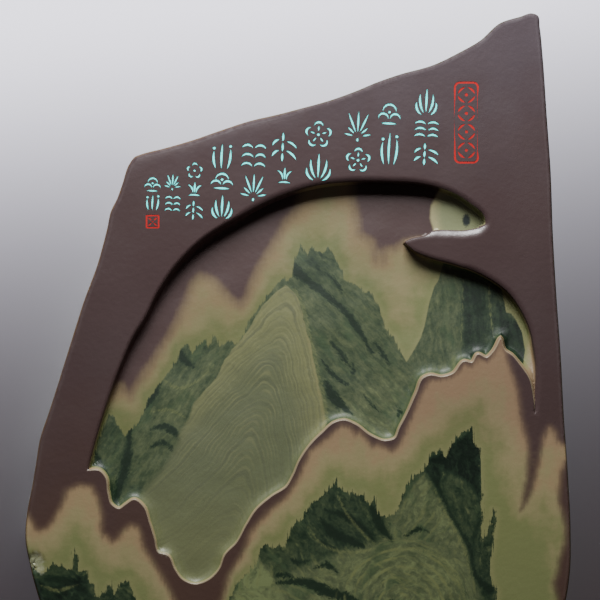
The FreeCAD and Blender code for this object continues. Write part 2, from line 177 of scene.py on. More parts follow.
FACE_BELOW_PURPLE = [
    (-150, -79), (-136, -79.5), (-133.5, -83.5), (-132, -86.5), (-129, -88), (-125, -86.5),
    (-121.5, -82), (-118.5, -76.5), (-116.5, -72.5), (-115, -68), (-113.5, -67), (-109, -65),
    (-103.5, -66), (-101, -71), (-99, -79), (-99, -87), (-97.5, -91), (-96.5, -90), (-93, -93.5),
    (-90, -92), (-86.5, -87.5), (-83.5, -85), (-80.5, -86), (-79.5, -89), (-78, -95.5),
    (-74.5, -101), (-68.5, -110.5), (-62.5, -122), (-57, -133), (-52, -145), (-49, -148),
    (-45.5, -142), (-41.5, -132), (-37, -122), (-34, -110), (-26.5, -98), (-23, -88), (-15, -79),
    (-5.5, -71), (1, -61), (6.5, -48), (15.5, -41), (22, -35), (26, -36), (28.5, -40), (31, -38),
    (34, -42), (37, -46), (40, -44.5), (47, -48), (51.5, -44), (55, -36), (58.5, -28), (62, -19),
    (66, -12), (72, -12), (77.5, -10.5), (83.5, -4.5), (87, -5.5), (90, -1.5), (94.5, -3),
    (97.5, 0), (100.5, 5), (101.5, 8), (104.5, -3), (109, -17), (110, -24), (111, -32),
    (114, -42.5), (114.5, -49.5), (114, -56), (113.5, -62), (112, -69), (111, -77), (113, -76),
    (115.5, -72.5), (118, -66), (120, -58.5), (122, -49.5), (123.5, -41), (126, -36), (128, -38),
    (129, -42.5), (131.5, -44.5), (150, -44), (150, -52), (133, -52), (130.5, -58.5), (130, -66),
    (129.5, -72.5), (131.5, -79), (133, -86.5), (132.5, -93), (129.5, -103), (129, -108),
    (127, -113), (129, -122), (125, -138), (128, -190), (-150, -190)]
FACE_GREEN_LEFT = [
    (-150, -104), (-137, -102), (-133.5, -105), (-130, -107), (-128, -108), (-126, -107.5),
    (-124, -105), (-121, -103.5), (-117, -105.5), (-113.5, -106.5), (-112.5, -103), (-112, -97),
    (-111.3, -96.5), (-110, -99), (-109.5, -103), (-109.5, -107), (-105, -106.5), (-104, -113),
    (-101.5, -114), (-101, -120), (-98, -120), (-94, -113.5), (-91.5, -118.5), (-89.5, -114),
    (-84.5, -112), (-83, -116), (-80.5, -122), (-76, -133), (-69, -143), (-56.5, -156),
    (-45, -158), (-38, -142), (-35, -124), (-35, -190), (-150, -190)]
FACE_GREEN_RIGHT = [
    (-38, -128), (-35, -122), (-30.5, -113), (-24, -107), (-21, -104), (-19.5, -98), (-17.5, -94),
    (-15.5, -93.5), (-12.5, -96), (-9, -93.5), (-7.5, -96), (-5.5, -91.5), (-3.5, -85.5),
    (-1, -82.5), (2, -81), (4.5, -76), (6.5, -73), (10, -71.5), (13, -68), (17, -65), (19.5, -61.5),
    (20.3, -65), (25, -68.5), (27, -67.5), (29.5, -69.5), (33, -68), (34, -72), (36, -73.5),
    (37.7, -71), (39, -75), (40, -79), (44.5, -80), (47, -79), (50.5, -75.5), (52, -70.5),
    (53.5, -66), (58.5, -59), (62.5, -57), (64.5, -53), (66.5, -48), (68, -47), (69.5, -48.5),
    (71.5, -46), (73.5, -50.5), (75, -46.5), (78, -42), (82, -37.5), (84, -37.5), (87.3, -35),
    (88, -43), (90, -45), (91.5, -45.5), (91.3, -56), (92, -63.5), (92.5, -69.5), (91.3, -72.5),
    (92.7, -80), (92, -88), (92.3, -92.5), (94.5, -88), (96.5, -80), (97.3, -76.5), (99, -77),
    (99, -83), (98, -90), (97, -97), (96, -103), (96.5, -110), (98, -114.5), (100, -118),
    (99, -122), (104, -133), (99, -144), (106, -160), (103, -190), (-38, -190)]

# How light the green rock is, painted in order: (tone, softness in mm, region). 0 is nearly black.
FLOOR_TONE = 0.58
FACE_TONE = 0.35
FLOOR_TONES = [
    (0.48, 5, [(-112, -62), (-96, -26), (-80, -30), (-58, 6), (-45, 8), (-50, -12), (-66, -40), (-72, -60),
               (-92, -82)]),
    (0.62, 4, [(-84, -40), (-74, -26), (-58, -30), (-62, -44), (-70, -56), (-80, -62)]),
    (0.66, 4, [(-66, -12), (-52, -8), (-44, 2), (-42, -6), (-52, -22), (-60, -38), (-70, -32)]),
    (0.34, 4.0, [(83, 60), (92, 60), (103, 40), (104, 21), (101, 2), (88, 0), (83, 2)]),
    (0.15, 2.5, [(83, 36), (91, 38), (94, 24), (93, 2), (84, -1), (83, 14)]),
    (0.15, 2.0, [(100, 26), (104, 26), (105, 20), (113, 17), (115, -1), (111, -8), (104, 2), (98, 4)]),
    (0.72, 4, [(22, -22), (36, -16), (52, -8), (54, -24), (48, -44), (24, -38)]),
    (0.42, 3, [(2, 58), (20, 50), (12, 34), (0, 44)])]
FACE_TONES = [
    (0.46, 4, [(-24, -104), (-12, -92), (-4, -94), (6, -100), (22, -100), (30, -108), (2, -122),
               (-25, -122)]),
    (0.79, 3, [(50, -76), (60, -60), (65, -61), (71, -72), (81, -88), (86, -104), (92, -124), (92, -180),
               (-30, -180), (-25, -125), (-14, -112), (2, -106), (22, -98), (42, -92), (46, -82)]),
    (0.72, 5, [(44, -84), (60, -66), (74, -86), (80, -104), (62, -96), (52, -92)]),
    (0.40, 4, [(72, -60), (86, -58), (89, -66), (88, -80), (80, -78)]),
    (0.95, 2, [(-40, -134), (-29, -111), (-20, -101), (-13, -108), (-13, -130)]),
    (0.14, 3, [(-132, -113), (-108, -110), (-104, -124), (-128, -136)]),
    (0.05, 1.5, [(63, -52), (69, -50), (87, -36), (91, -46), (91, -70), (84, -62), (72, -56), (70, -66)])]

# Dark and pale bands inside the green rock: each point is (x, y, half width), in millimetres.
FLOOR_DARK_BANDS = [
    [(-3, 47, 1.2), (-1, 43, 2.6), (6, 37, 2.0), (14, 31, 1.6), (24, 22, 1.6), (29, 15, 1.9), (33, 9, 0.9),
     (37, 2, 0.4)],
    [(6, 50, 0.3), (9, 46, 1.0), (12, 41, 0.3)],
    [(14, 42, 0.4), (18, 38, 1.2), (22, 32, 0.5)],
    [(38, 7, 0.4), (42, 2, 1.1), (46, -4, 0.4)],
    [(17, 7, 0.5), (21, 2, 1.2), (26, -5, 0.4)],
    [(14, -13, 1.0), (17, -19, 2.8), (22, -25, 2.0), (27, -29, 0.6)],
    [(27, -3, 0.4), (28, -7, 1.1), (27, -10, 0.3)],
    [(12, -2, 0.3), (18, -10, 1.1), (25, -14, 0.4)],
    [(33, -20, 0.2), (38, -25, 0.9), (41, -28, 0.3)],
    [(49, -24, 0.3), (51, -28, 1.0), (50, -31, 0.3)],
    [(-74, -37, 0.3), (-69, -35, 1.3), (-63, -37, 1.8), (-59, -43, 0.5)],
    [(-74, -46, 0.4), (-68, -43, 1.6), (-63, -47, 0.6)],
    [(-102, -48, 0.8), (-97, -60, 2.0), (-93, -76, 1.6)],
    [(-84, -34, 0.5), (-86, -52, 2.2), (-92, -74, 1.4)],
    [(-60, 4, 1.0), (-57, -2, 2.0), (-53, -5, 0.8)],
    [(-80, -28, 0.4), (-74, -22, 1.6), (-69, -12, 0.6)]]
FLOOR_PALE_BANDS = [
    [(-2, 34, 0.8), (2, 26, 1.1), (5, 12, 1.3), (8.5, -4, 1.5), (12, -20, 1.7), (13.5, -34, 1.2),
     (6, -46, 0.6), (-3, -64, 0.4)],
    [(-10, 32, 0.2), (-26, 11, 0.25), (-38, -6, 0.1)],
    [(96, 36, 0.2), (96.5, 24, 0.5), (98, 12, 0.5), (100, 5, 0.2)],
    [(83, 40, 0.2), (82.5, 22, 0.3), (82, 8, 0.2)],
    [(-70, -10, 0.3), (-60, -16, 0.9), (-50, -12, 0.5), (-42, -4, 0.3)],
    [(-74, -28, 0.3), (-64, -27, 0.8), (-56, -31, 0.4)]]
FACE_DARK_BANDS = [
    [(64, -56, 0.8), (71, -67, 0.8), (75, -76, 0.8), (81, -87, 0.9), (86, -96, 0.9), (88.5, -109, 1.2),
     (96, -117, 2.2)],
    [(12, -82, 1.0), (17, -88, 2.8), (26, -92, 2.0), (33, -95, 0.8)],
    [(14, -77, 0.8), (24, -80, 1.8), (33, -86, 1.4), (38, -92, 0.6)],
    [(37, -76, 1.5), (42, -86, 2.4), (47, -92, 0.8)],
    [(-10, -113, 1.0), (4, -113, 2.2), (16, -118, 2.8), (28, -122, 1.8), (38, -132, 0.8)],
    [(-4, -101, 0.3), (0, -103, 1.2), (6, -102, 0.3)],
    [(-11, -110, 0.6), (-6, -109, 1.4), (-1, -112, 0.4)],
    [(8, -106, 0.3), (14, -104, 1.3), (20, -108, 0.4)],
    [(54, -90, 0.4), (60, -86, 1.1), (66, -88, 0.3)],
    [(46, -122, 0.6), (58, -128, 2.2), (66, -138, 1.0)],
    [(-126, -111, 1.2), (-116, -112, 1.6), (-106, -118, 1.0)]]
FACE_PALE_BANDS = [
    [(68.5, -67, 0.3), (73, -77, 0.6), (79, -88, 0.8), (84, -98, 0.8), (86, -110, 0.5)],
    [(20, -70, 0.3), (24, -78, 0.6), (32, -88, 0.7), (38, -94, 0.3)],
    [(4, -84, 0.3), (12, -94, 0.7), (24, -98, 0.7), (40, -96, 0.4)],
    [(48, -98, 0.3), (60, -96, 0.9), (74, -103, 1.2), (82, -116, 1.0), (84, -128, 0.6)],
    [(40, -104, 0.3), (46, -108, 0.9), (54, -116, 0.6)],
    [(-110, -114, 0.3), (-120, -117, 0.9), (-130, -114, 0.3)]]

# Direction of the streaks: (angle in degrees anticlockwise from upright, region).
FLOOR_FLOWS = [
    (46, [(-6, 62), (24, 60), (60, 0), (60, -60), (6, -60), (12, -20), (2, 24), (-6, 36)]),
    (4, [(54, 4), (76, 60), (120, 60), (120, -30), (100, 4), (60, -10)]),
    (-34, [(-120, -90), (-100, -20), (-58, 14), (-30, 10), (-48, -20), (-64, -50), (-76, -90)])]
FACE_FLOWS = [
    (36, [(-22, -96), (6, -60), (20, -58), (42, -76), (48, -96), (0, -112)]),
    (64, [(-40, -190), (-40, -120), (0, -112), (48, -98), (84, -100), (96, -190)]),
    (-30, [(42, -80), (64, -46), (70, -66), (86, -98), (60, -92)]),
    (14, [(64, -46), (88, -30), (94, -40), (92, -100), (86, -96), (70, -66)]),
    (70, [(-150, -100), (-100, -96), (-80, -118), (-80, -190), (-150, -190)])]
# Where the streaks run in rings: their centre and greatest radius, their right side, and the length that one
# radian of turn counts for.
RINGED_CENTRE = (52.0, -126.0)
RINGED_REACH = 35.0
RINGED_RIGHT_SIDE = 90.0
RINGED_TURN = 18.0

# Pale mineral disc in the upper pocket, with a dark spot, as (centre x, centre y, half width, half height).
# The pocket is the part of the well above POCKET_FOOT_Y.
POCKET_FOOT_Y = 57.0
DISC = (82.0, 71.0, 15.5, 18.0)
DISC_SPOT = (84.6, 68.4, 2.1, 3.4)
# Chipped spots with pale crystals: (x, y, radius).
CRYSTALS = [
    (-131, -102, 4.6), (-128.5, -106.5, 2.6), (-68.4, -97.2, 2.1), (-66, -98.6, 1.6), (-33.5, 45.3, 0.55)]
# The broken spot on the left edge: (x, y, radius, depth).
CHIP = (-132.0, -103.0, 6.0, 1.3)
# How far in from the stone's edge its natural skin shows, and where the well's green starts to have a
# smooth edge with no spikes.
RIND_WIDTH = 0.8
SMOOTH_FROM_X = 52.0


# ---------------------------------------------------------------- lines and distances

def smooth_run(points, step, closed=False):
    """Points along the smooth curve through given points, about one step apart. An open run leaves out
    its last point, where the next run starts."""
    knots = np.array(points, float)
    count = len(knots)
    spans = count if closed else count - 1
    chords = [knots[(k + 1) % count] - knots[k] for k in range(spans)]
    lengths = [np.linalg.norm(chord) for chord in chords]
    slopes = []
    for k in range(count):
        if closed or 0 < k < count - 1:
            share = lengths[k - 1] / (lengths[k - 1] + lengths[k])
            slopes.append(chords[k - 1] / lengths[k - 1] * (1 - share) + chords[k] / lengths[k] * share)
        else:
            end = min(k, spans - 1)
            slopes.append(chords[end] / lengths[end])
    run = []
    for k in range(spans):
        third = lengths[k] / 3
        start, end = knots[k], knots[(k + 1) % count]
        leave, arrive = start + slopes[k] * third, end - slopes[(k + 1) % count] * third
        pieces = max(1, round(lengths[k] / step))
        for t in np.arange(pieces) / pieces:
            near_start = (1 - t)**3 * start + 3 * (1 - t)**2 * t * leave
            run.append(near_start + 3 * (1 - t) * t**2 * arrive + t**3 * end)
    return np.array(run)


def smooth_step(low, high, value):
    """0 below low, 1 above high, and an even rise between them."""
    t = np.clip((value - low) / (high - low), 0, 1)
    return t * t * (3 - 2 * t)


def is_inside(points, loops, chunk=2500):
    """Whether each point is inside the closed loops, by counting the edges to its right."""
    starts = np.vstack(loops)
    ends = np.vstack([np.roll(loop, -1, axis=0) for loop in loops])
    rise = np.where(ends[:, 1] == starts[:, 1], 1.0, ends[:, 1] - starts[:, 1])
    run = (ends[:, 0] - starts[:, 0]) / rise
    inside = np.zeros(len(points), bool)
    for k in range(0, len(points), chunk):
        x = points[k:k + chunk, 0:1]
        y = points[k:k + chunk, 1:2]
        spans = (starts[:, 1] > y) != (ends[:, 1] > y)
        crossing = spans & (x < starts[:, 0] + (y - starts[:, 1]) * run)
        inside[k:k + chunk] = crossing.sum(axis=1) % 2 == 1
    return inside


def from_segment(points, start, end):
    """Distance from each point to one straight segment, and how far along it the nearest place is."""
    along = end - start
    share = np.clip(((points - start) @ along) / max(along @ along, 1e-12), 0, 1)
    return np.linalg.norm(points - start - share[:, None] * along, axis=1), share


def line_distance(points, line):
    """Distance from each point to an open line."""
    nearest = np.full(len(points), np.inf)
    for start, end in zip(line[:-1], line[1:]):
        nearest = np.minimum(nearest, from_segment(points, start, end)[0])
    return nearest


def region_depth(points, corners):
    """How far each point lies inside a region; outside it the value is negative."""
    loop = np.array(corners, float)
    distance = line_distance(points, np.vstack([loop, loop[:1]]))
    return np.where(is_inside(points, [loop]), distance, -distance)


def regions_depth(points, *regions):
    """Depth inside the nearest of several regions."""
    return np.max([region_depth(points, region) for region in regions], axis=0)


def band_depth(points, bands):
    """How far each point lies inside the nearest of several smooth, tapering bands."""
    depth = np.full(len(points), -BAND_REACH)
    for band in bands:
        rows = np.vstack([smooth_run(band, BAND_STEP), band[-1:]])
        low, high = rows[:, :2].min(axis=0) - BAND_REACH, rows[:, :2].max(axis=0) + BAND_REACH
        near = np.flatnonzero(np.all((points > low) & (points < high), axis=1))
        for start, end in zip(rows[:-1], rows[1:]):
            distance, share = from_segment(points[near], start[:2], end[:2])
            depth[near] = np.maximum(depth[near], start[2] * (1 - share) + end[2] * share - distance)
    return depth


def undulation(points, length, seed):
    """Smooth, irregular rise and fall between about -1 and 1, with waves about one length across."""
    total = np.zeros(len(points))
    for k in range(6):
        angle = seed * 1.7 + k * 2.4
        stretch = 1 + 0.31 * k
        across = points[:, 0] * math.cos(angle) + points[:, 1] * math.sin(angle)
        total += np.sin(across * stretch * 2 * math.pi / length + seed * 5.1 + k * k) / stretch
    return total / 2.6


def point_tree(points):
    """A search tree over flat points."""
    tree = kdtree.KDTree(len(points))
    for k, (x, y) in enumerate(points):
        tree.insert((x, y, 0), k)
    tree.balance()
    return tree


class Border:
    """A closed line that says how deep inside it points lie, and which of its samples is nearest."""

    def __init__(self, line):
        self.line = line
        self.tree = point_tree(line)
        ahead = np.roll(line, -1, axis=0) - np.roll(line, 1, axis=0)
        ahead /= np.linalg.norm(ahead, axis=1)[:, None]
        x, y = line.T
        self.turn = 1 if np.sum(x * np.roll(y, -1) - np.roll(x, -1) * y) > 0 else -1
        self.inward = np.column_stack([-ahead[:, 1], ahead[:, 0]]) * self.turn

    def measure(self, points):
        """Each point's depth inside the line, negative outside it, and the nearest sample's index."""
        nearest = np.array([self.tree.find((x, y, 0))[1] for x, y in points])
        count = len(self.line)
        distance = np.full(len(points), np.inf)
        for a, b in ((nearest - 1, nearest), (nearest, (nearest + 1) % count)):
            along = self.line[b] - self.line[a]
            reach = points - self.line[a]
            share = np.clip(np.sum(reach * along, axis=1) / np.sum(along * along, axis=1), 0, 1)
            distance = np.minimum(distance, np.linalg.norm(reach - share[:, None] * along, axis=1))
        return np.where(is_inside(points, [self.line]), distance, -distance), nearest

    def ring(self, depth):
        """Samples set inward by depth, without those that come nearer to the line elsewhere."""
        moved = self.line + self.inward * depth
        reached, _ = self.measure(moved)
        tolerance = 0.04 + 0.03 * abs(depth)
        return moved[np.abs(reached - depth) < tolerance]


# ---------------------------------------------------------------- the shape of the stone

stone_edge = Border(smooth_run(STONE_OUTLINE, OUTLINE_STEP, closed=True))
rim_runs = [smooth_run(run, RIM_STEP) for run in (WELL_UPPER_RIM, WELL_RIDGE, WELL_RIGHT_SLOPE)]
well_rim = Border(np.vstack(rim_runs))


def wall_shapes():
    """The wall's shape at each sample of the rim, eased from one stretch to the next."""
    upper, ridge, slope = rim_runs
    x, y = upper.T
    upper_shapes = np.tile(TOP_WALL, (len(upper), 1))
    for wall, least_x, greatest_x, least_y, greatest_y in UPPER_WALLS:
        upper_shapes[(x > least_x) & (x < greatest_x) & (y > least_y) & (y < greatest_y)] = wall
    lower_shapes = [np.tile(COVE_WALL, (len(ridge), 1)), np.tile(SLOPE_WALL, (len(slope), 1))]
    shapes = np.vstack([upper_shapes] + lower_shapes)
    for _ in range(WALL_EASINGS):
        shapes = (np.roll(shapes, 1, axis=0) + shapes + np.roll(shapes, -1, axis=0)) / 3
    return shapes


RIM_SHAPES = wall_shapes()


def wall_span(nearest):
    """How deep inside the rim the wall begins and ends, beside the given samples of the rim."""
    outset, _, reach, width, _, _, _ = RIM_SHAPES[nearest].T
    return -outset, reach - outset + width


def worked_height(points):
    """Height of the worked face, how far each point has dropped from face (0) to floor (1), how far it cuts
    through the purple layer, and how near it is to the lip along the low ridge."""
    x, y = points.T
    edge, _ = stone_edge.measure(points)
    inside, nearest = well_rim.measure(points)
    outset, radius, reach, width, layer, hollow, upright = RIM_SHAPES[nearest].T

    # A face that is nearly flat, with a rounded edge and a worn bevel along its upper left edge.
    height = FACE_Z + 0.05 * undulation(points, 46, 1) - 0.05
    rounded = np.clip(EDGE_ROUND - edge, 0, EDGE_ROUND)
    height = height - (EDGE_ROUND - np.sqrt(EDGE_ROUND**2 - rounded**2))
    bevel = smooth_step(-92, -78, x) * (1 - smooth_step(-25, 12, x)) * smooth_step(90, 97, y)
    height = height - BEVEL_DEPTH * bevel * np.clip(1 - edge / BEVEL_WIDTH, 0, 1)**2

    # The well: a rounded rim, the wall below it, and a sloping floor that runs out up the right side.
    turned = np.clip(inside + outset, 0, reach)
    rim_drop = radius - np.sqrt(radius**2 - turned**2)
    share = np.clip((inside + outset - reach) / width, 0, 1)
    dropped = (1 - (1 - share)**hollow)**(1 / upright)
    floor = FLOOR_Z_AT_TOP - (y - WELL_TOP_Y) * FLOOR_RISE + 0.10 * undulation(points, 34, 3)
    run_out = 0.8 * smooth_step(103, 107, x) * (1 - smooth_step(-27, 5, y))
    floor = floor + (FACE_Z - floor) * run_out
    height = height - rim_drop + (floor - FACE_Z + rim_drop) * dropped
    cut_through = smooth_step(0.6, 1.2, (FACE_Z - height) / layer) * (inside > -outset)

    chip_x, chip_y, chip_radius, chip_depth = CHIP
    chip = np.clip(1 - np.hypot(x - chip_x, y - chip_y) / chip_radius, 0, 1)
    height = height - chip_depth * smooth_step(0, 1, chip * 2) * (0.7 + 0.5 * undulation(points, 2.6, 7))
    on_ridge = nearest >= len(rim_runs[0])
    lip = np.where(on_ridge, 1 - np.abs(inside - LIP_PLACE) / LIP_REACH, -1.0)
    return height, dropped, cut_through, np.maximum(lip, -1.0)


# ---------------------------------------------------------------- the pattern of the stone

def flow_coordinates(points, flows):
    """Coordinates across and along the streaks of the rock, turned to their direction in each region."""
    x, y = points.T
    across, along = x, y
    for angle, region in flows:
        sine, cosine = math.sin(math.radians(angle)), math.cos(math.radians(angle))
        inside = is_inside(points, [np.array(region, float)])
        across = np.where(inside, x * cosine + y * sine, across)
        along = np.where(inside, y * cosine - x * sine, along)
    return across, along


def paint_tones(points, base, tones):
    """Lightness of the green rock after each soft-edged region has been painted over the last."""
    tone = np.full(len(points), base)
    for value, softness, region in tones:
        cover = smooth_step(-softness, softness, region_depth(points, region))
        tone = tone * (1 - cover) + value * cover
    return tone


def oval_depth(points, oval):
    """How far each point lies inside an oval; outside it the value is negative."""
    x, y, half_width, half_height = oval
    reach = np.hypot((points[:, 0] - x) / half_width, (points[:, 1] - y) / half_height)
    return (1 - reach) * half_width


def fold_contour(points):
    """Height on the nested arches of the fold: it grows inward from its right side and down from its top."""
    left = line_distance(points, np.array(FOLD_LEFT_SIDE, float))
    below_top = 0.62 * (points[:, 0] + 3) - 0.78 * (points[:, 1] - 33)
    left = 0.4 * left + 0.6 * below_top
    right = 1.1 * line_distance(points, np.array(FOLD_RIGHT_SIDE, float))
    blend = 5.0
    return -blend * np.log(np.exp(-left / blend) + np.exp(-right / blend))


def layer_fields(points, purple, green, tone, dark_bands, pale_bands, flows):
    """The fields of one worked surface: where its layers, tones, bands and streaks lie."""
    across, along = flow_coordinates(points, flows)
    return {
        "purple": purple,
        "green": green,
        "tone": tone,
        "dark_band": band_depth(points, dark_bands),
        "pale_band": band_depth(points, pale_bands),
        "across": across,
        "along": along,
        "ringed": np.full(len(points), OUTSIDE)}


def face_pattern(points):
    """The fields that colour the uncarved face, where the streaks also run in rings round one centre."""
    green = regions_depth(points, FACE_GREEN_LEFT, FACE_GREEN_RIGHT)
    tone = paint_tones(points, FACE_TONE, FACE_TONES)
    purple = -region_depth(points, FACE_BELOW_PURPLE)
    fields = layer_fields(points, purple, green, tone, FACE_DARK_BANDS, FACE_PALE_BANDS, FACE_FLOWS)
    x, y = (points - RINGED_CENTRE).T
    radius = np.hypot(x, y)
    in_rings = (radius < RINGED_REACH) & (points[:, 0] < RINGED_RIGHT_SIDE)
    rings = {"across": radius, "along": np.arctan2(x, y) * RINGED_TURN, "ringed": RINGED_REACH - radius}
    for name, values in rings.items():
        fields[name] = np.where(in_rings, values, fields[name])
    return fields


def floor_pattern(points):
    """The fields that colour the floor of the well."""
    purple = regions_depth(points, FLOOR_PURPLE_LEFT, FLOOR_PURPLE_RIGHT, FLOOR_PURPLE_TIP)
    green = region_depth(points, FLOOR_GREEN)
    tone = paint_tones(points, FLOOR_TONE, FLOOR_TONES)
    return layer_fields(points, purple, green, tone, FLOOR_DARK_BANDS, FLOOR_PALE_BANDS, FLOOR_FLOWS)


def worked_pattern(points, dropped, cut_through, lip):
    """All fields on the worked side: the face's, the floor's in the well, and a mix down its walls."""
    face = face_pattern(points)
    face["purple"] = np.minimum(face["purple"], 4 - 10 * cut_through)
    floor = floor_pattern(points)
    mix = smooth_step(0.3, 0.7, dropped)
    fields = {name: face[name] * (1 - mix) + floor[name] * mix for name in face}
    in_well = dropped > 0.05
    in_pocket = in_well & (points[:, 1] > POCKET_FOOT_Y)
    edge, _ = stone_edge.measure(points)
    crystals = [radius - np.hypot(points[:, 0] - x, points[:, 1] - y) for x, y, radius in CRYSTALS]
    fields.update({
        "sunk": mix,
        "wall": smooth_step(0, 0.1, dropped) * (1 - smooth_step(0.96, 1, dropped)),
        "lip": lip,
        "fold": np.where(in_well, region_depth(points, FOLD), OUTSIDE),
        "contour": fold_contour(points),
        "disc": np.where(in_pocket, oval_depth(points, DISC), FAR_OUTSIDE),
        "spot": np.where(in_pocket, oval_depth(points, DISC_SPOT), FAR_OUTSIDE),
        "crystal": np.max(crystals, axis=0),
        "rind": 1 - edge / RIND_WIDTH,
        "jagged": np.where(in_well & (points[:, 0] > SMOOTH_FROM_X), 0.0, 1.0)})
    return fields


def uncarved_pattern(points, **plain):
    """The face's fields as they would be without the well, with some of them the same everywhere."""
    level = np.zeros(len(points))
    fields = worked_pattern(points, level, level, level - 1)
    fields.update({name: level + value for name, value in plain.items()})
    return fields


def side_pattern(points, depth, around):
    """Fields at one depth down the stone's sides, where its layers lie under each other."""
    fields = uncarved_pattern(points, dark_band=FAR_OUTSIDE, pale_band=FAR_OUTSIDE, jagged=0.4)
    waves = 1.4 * undulation(points, 38, 5) + 0.5 * undulation(points, 9, 6)
    cut = np.minimum(0.45 * fields["purple"], PURPLE_THICKNESS) - depth + waves * smooth_step(0, 4, depth)
    below_buff = -cut - BUFF_THICKNESS + 0.8 * undulation(points, 12, 8)
    fields.update({
        "purple": cut,
        "green": np.maximum(np.minimum(fields["green"], 4), below_buff),
        "tone": 0.28 + 0.10 * undulation(points, 30, 2) + 0.012 * depth,
        "across": depth + 1.2 * undulation(points, 60, 9),
        "along": around,
        "rind": 0.95 - depth / 1.6 + 0.6 * undulation(points, 14, 4)})
    return fields


def back_pattern(points):
    """Fields on the flat back, deep in the green rock."""
    fields = uncarved_pattern(
        points, purple=-20.0, green=12.0, dark_band=FAR_OUTSIDE, pale_band=FAR_OUTSIDE,
        ringed=OUTSIDE, crystal=FAR_OUTSIDE, rind=-3.0)
    x, y = points.T
    fields.update({
        "tone": 0.42 + 0.16 * undulation(points, 70, 2),
        "across": x * 0.8 + y * 0.6,
        "along": y * 0.8 - x * 0.6})
    return fields


# ---------------------------------------------------------------- the stone's mesh

def hex_grid(step):
    """Evenly spread points over the stone's box."""
    low, high = np.array(STONE_OUTLINE).min(axis=0), np.array(STONE_OUTLINE).max(axis=0)
    rows = np.arange(low[1], high[1], step * math.sqrt(3) / 2)
    columns = np.arange(low[0], high[0], step)
    shifts = [(k % 2) * step / 2 for k in range(len(rows))]
    return np.vstack([np.column_stack([columns + shift, columns * 0 + y]) for shift, y in zip(shifts, rows)])


def in_rim(points):
    """Whether each point is inside the rim's corners."""
    return is_inside(points, [np.array(WELL_UPPER_RIM + WELL_RIDGE + WELL_RIGHT_SLOPE, float)])


def is_patterned(points):
    """Whether each point is where the stone isn't plain purple."""
    in_well = in_rim(points)
    below = region_depth(points, FACE_BELOW_PURPLE) > -3
    plain_floor = regions_depth(points, FLOOR_PURPLE_LEFT, FLOOR_PURPLE_RIGHT) > 4
    return (below & ((points[:, 1] < -25) | ~in_well)) | (in_well & ~plain_floor)


def is_near_line(points):
    """Whether each point is near a sharp line of the pattern."""
    in_well = in_rim(points)
    floor = np.abs(region_depth(points, FLOOR_GREEN)) < LINE_REACH
    floor |= band_depth(points, FLOOR_DARK_BANDS + FLOOR_PALE_BANDS) > -BAND_LINE_REACH
    floor |= np.abs(region_depth(points, FOLD)) < 0.7
    floor |= (np.abs(oval_depth(points, DISC_SPOT)) < 2) & (points[:, 1] > POCKET_FOOT_Y)
    face = np.abs(regions_depth(points, FACE_GREEN_LEFT, FACE_GREEN_RIGHT)) < LINE_REACH
    face |= band_depth(points, FACE_DARK_BANDS + FACE_PALE_BANDS) > -BAND_LINE_REACH
    face |= np.abs(region_depth(points, FACE_BELOW_PURPLE)) < 0.9
    return (in_well & floor) | (~in_well & face & (points[:, 1] < 12))


def spread_points(stroke_samples):
    """Points over the worked face: close at the pattern's lines, wide apart where the stone is plain."""
    coarse = hex_grid(PLAIN_STEP)
    middle = hex_grid(PATTERN_STEP)
    fine = hex_grid(LINE_STEP)
    middle = middle[is_patterned(middle)]
    coarse = coarse[~is_patterned(coarse)]
    points = np.vstack([coarse, middle[~is_near_line(middle)], fine[is_near_line(fine)]])

    edge, _ = stone_edge.measure(points)
    inside, nearest = well_rim.measure(points)
    wall_start, wall_end = wall_span(nearest)
    off_wall = (inside < wall_start - WALL_MARGIN_OUTSIDE) | (inside > wall_end + WALL_MARGIN_INSIDE)
    points = points[(edge > EDGE_MARGIN) & off_wall]
    strokes = point_tree(stroke_samples)
    return points[[strokes.find((x, y, 0))[2] > STROKE_REACH for x, y in points]]


def stroke_loops():
    """The outlines of the engraved strokes, in millimetres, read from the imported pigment."""
    loops = []
    for name, node in sorted(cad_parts.items()):
        if name == "stone_slab":
            continue
        mesh = node.data
        top = max(vertex.co.z for vertex in mesh.vertices)
        place = {}
        onward = {}
        for face in mesh.polygons:
            corners = [mesh.vertices[index].co for index in face.vertices]
            if face.normal.z < 0.9 or min(corner.z for corner in corners) < top - 1e-6:
                continue
            keys = [(round(corner.x * 1e6), round(corner.y * 1e6)) for corner in corners]
            for key, corner in zip(keys, corners):
                place[key] = (corner.x / MM, corner.y / MM)
            for here, there in zip(keys, keys[1:] + keys[:1]):
                if (there, here) in onward:
                    del onward[(there, here)]
                else:
                    onward[(here, there)] = True
        ahead = {here: there for here, there in onward}
        while ahead:
            first = here = next(iter(ahead))
            loop = []
            while here in ahead:
                loop.append(place[here])
                here = ahead.pop(here)
            if here == first and len(loop) > 2:
                loops.append(np.array(loop))
    return loops


def triangulate(points, loops):
    """Joins flat points by triangles that keep the closed loops, which are the first of the points. It
    returns the places, the triangles, and which of the points lie at each place."""
    edges = []
    first = 0
    for loop in loops:
        edges += [(first + k, first + (k + 1) % len(loop)) for k in range(len(loop))]
        first += len(loop)
    result = delaunay_2d_cdt([Vector(point) for point in points], edges, [], 1, 1e-5)
    return np.array([tuple(vertex) for vertex in result[0]]), np.array(result[2]), result[3]


class Skin:
    """The vertices, colouring fields and faces of the stone, gathered part by part."""

    def __init__(self):
        self.places = []
        self.layers = []
        self.faces = []
        self.count = 0

    def add(self, flat, height, fields):
        """Adds vertices and their fields, and returns their indices."""
        self.places.append(np.column_stack([flat, np.full(len(flat), height)]))
        self.layers.append(fields)
        self.count += len(flat)
        return range(self.count - len(flat), self.count)


